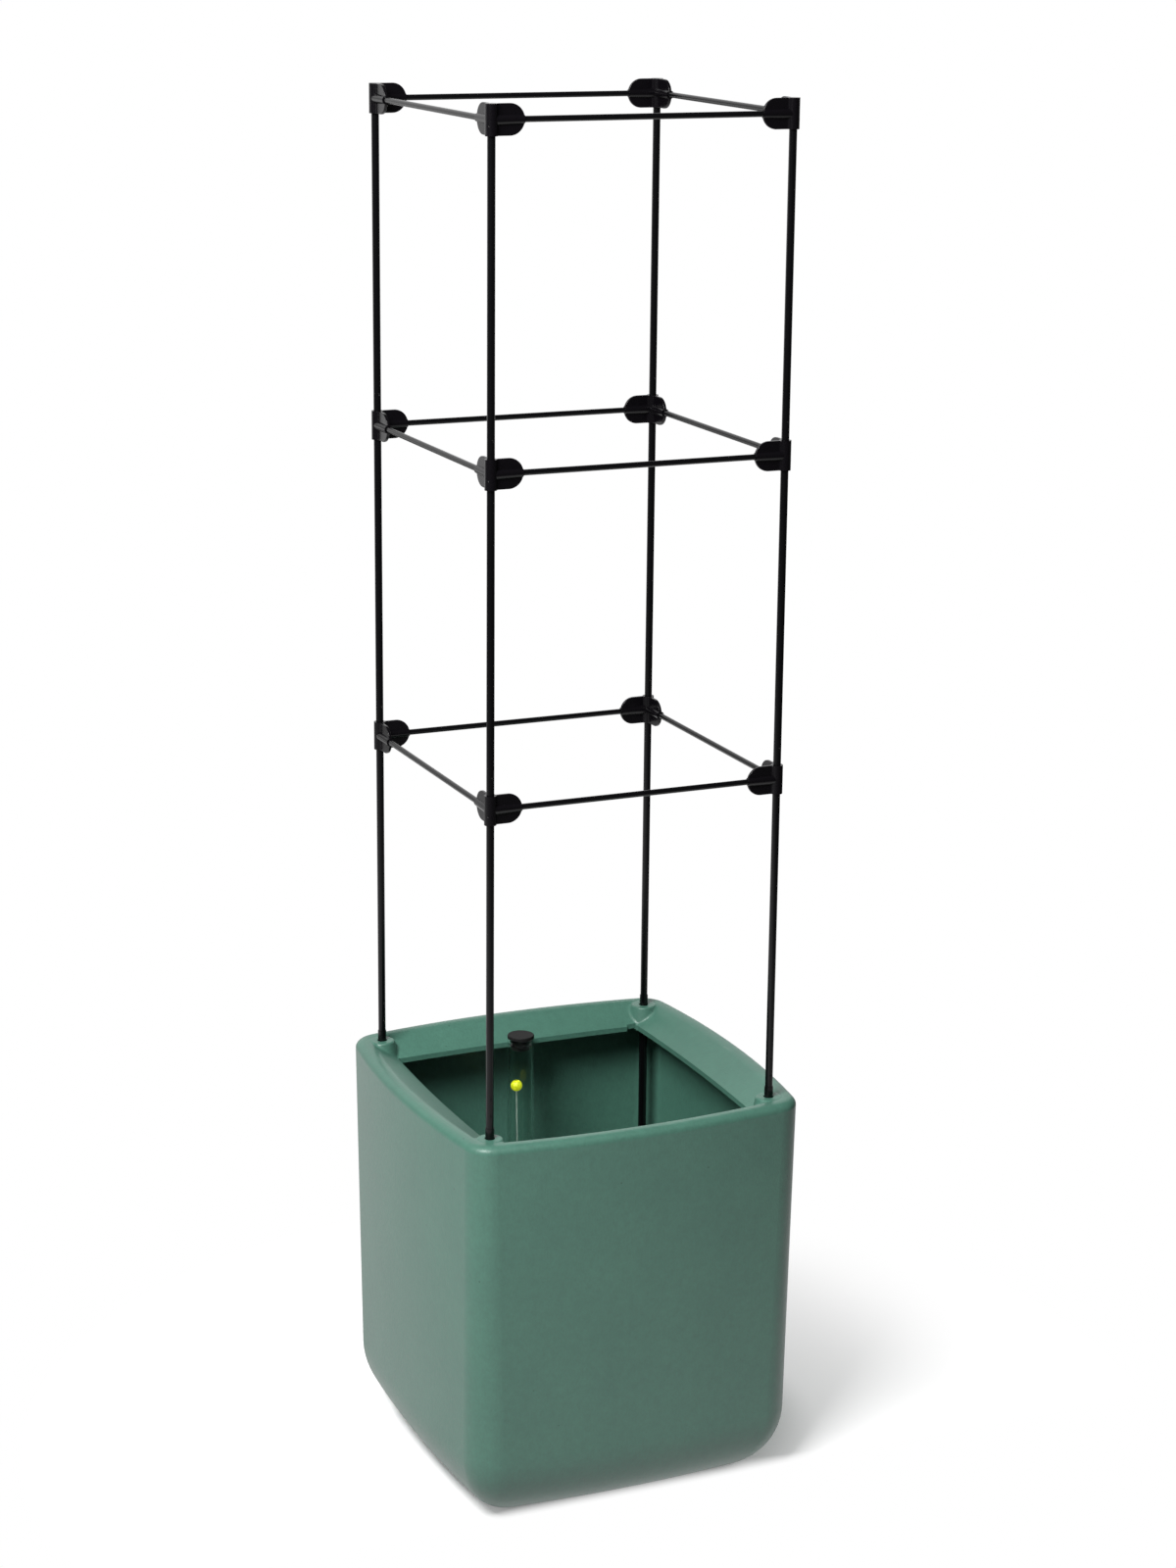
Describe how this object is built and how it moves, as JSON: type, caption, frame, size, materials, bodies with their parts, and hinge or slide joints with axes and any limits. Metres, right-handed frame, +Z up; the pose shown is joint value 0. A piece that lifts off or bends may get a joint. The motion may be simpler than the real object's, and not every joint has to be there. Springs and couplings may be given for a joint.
{
  "type": "self-watering planter with trellis",
  "caption": "Square rotomoulded floor planter with a water reservoir, a float gauge in a clear tube and a tall square trellis of black posts and rods that plugs into its rim.",
  "frame": {"origin": "on the floor, under the middle of the planter", "axes": "+Z up along the posts; the front face looks along -Y and the water gauge stands at the +Y side"},
  "size_m": [0.4024, 0.4024, 1.4818],
  "materials": {
    "moulded_polyethylene": "sage green rotomoulded polyethylene with a fine orange-peel skin",
    "coated_steel": "black polymer-coated steel tube, satin",
    "plated_steel": "zinc-plated steel",
    "black_plastic": "black injection-moulded nylon, semi-gloss",
    "black_rubber": "black moulded rubber, matt",
    "clear_acrylic": "clear extruded acrylic tube",
    "yellow_plastic": "fluorescent yellow moulded plastic",
    "pale_nylon": "natural nylon rod",
    "float_foam": "closed-cell white float",
    "grey_polypropylene": "dark grey moulded polypropylene, matt"
  },
  "bodies": {
    "planter": {"gauge_foot": "grey_polypropylene", "gauge_grommet": "black_rubber", "gauge_tube": "clear_acrylic", "planter_shell": "moulded_polyethylene", "platform_legs": "grey_polypropylene", "post_sockets": "grey_polypropylene", "soil_platform_back": "grey_polypropylene", "soil_platform_front": "grey_polypropylene", "wicking_cup_back": "grey_polypropylene", "wicking_cup_front": "grey_polypropylene"},
    "trellis": {"corner_joint_back_left_1": "black_plastic", "corner_joint_back_left_2": "black_plastic", "corner_joint_back_left_3": "black_plastic", "corner_joint_back_right_1": "black_plastic", "corner_joint_back_right_2": "black_plastic", "corner_joint_back_right_3": "black_plastic", "corner_joint_front_left_1": "black_plastic", "corner_joint_front_left_2": "black_plastic", "corner_joint_front_left_3": "black_plastic", "corner_joint_front_right_1": "black_plastic", "corner_joint_front_right_2": "black_plastic", "corner_joint_front_right_3": "black_plastic", "cross_rod_back_1": "coated_steel", "cross_rod_back_2": "coated_steel", "cross_rod_back_3": "coated_steel", "cross_rod_front_1": "coated_steel", "cross_rod_front_2": "coated_steel", "cross_rod_front_3": "coated_steel", "cross_rod_left_1": "coated_steel", "cross_rod_left_2": "coated_steel", "cross_rod_left_3": "coated_steel", "cross_rod_right_1": "coated_steel", "cross_rod_right_2": "coated_steel", "cross_rod_right_3": "coated_steel", "post_back_left_1": "coated_steel", "post_back_left_2": "coated_steel", "post_back_left_3": "coated_steel", "post_back_right_1": "coated_steel", "post_back_right_2": "coated_steel", "post_back_right_3": "coated_steel", "post_ferrules": "plated_steel", "post_foot_back_left": "coated_steel", "post_foot_back_right": "coated_steel", "post_foot_front_left": "coated_steel", "post_foot_front_right": "coated_steel", "post_front_left_1": "coated_steel", "post_front_left_2": "coated_steel", "post_front_left_3": "coated_steel", "post_front_right_1": "coated_steel", "post_front_right_2": "coated_steel", "post_front_right_3": "coated_steel", "post_top_plugs": "black_plastic"},
    "gauge_cap": {"gauge_cap": "black_rubber"},
    "gauge_float": {"gauge_float": "float_foam", "gauge_stem": "pale_nylon", "gauge_ball": "yellow_plastic"},
    "overflow_bung": {"overflow_bung": "black_rubber"}
  },
  "joints": [
    {"name": "trellis_lift", "type": "slide", "parent": "planter", "child": "trellis", "axis": [0, 0, 1], "range_m": [0, 0.34]},
    {"name": "cap_lift", "type": "slide", "parent": "planter", "child": "gauge_cap", "axis": [0, 0, 1], "range_m": [0, 0.03]},
    {"name": "float_rise", "type": "slide", "parent": "planter", "child": "gauge_float", "axis": [0, 0, 1], "range_m": [0, 0.034]},
    {"name": "bung_pull", "type": "slide", "parent": "planter", "child": "overflow_bung", "axis": [0, 1, 0], "range_m": [0, 0.03]}
  ]
}
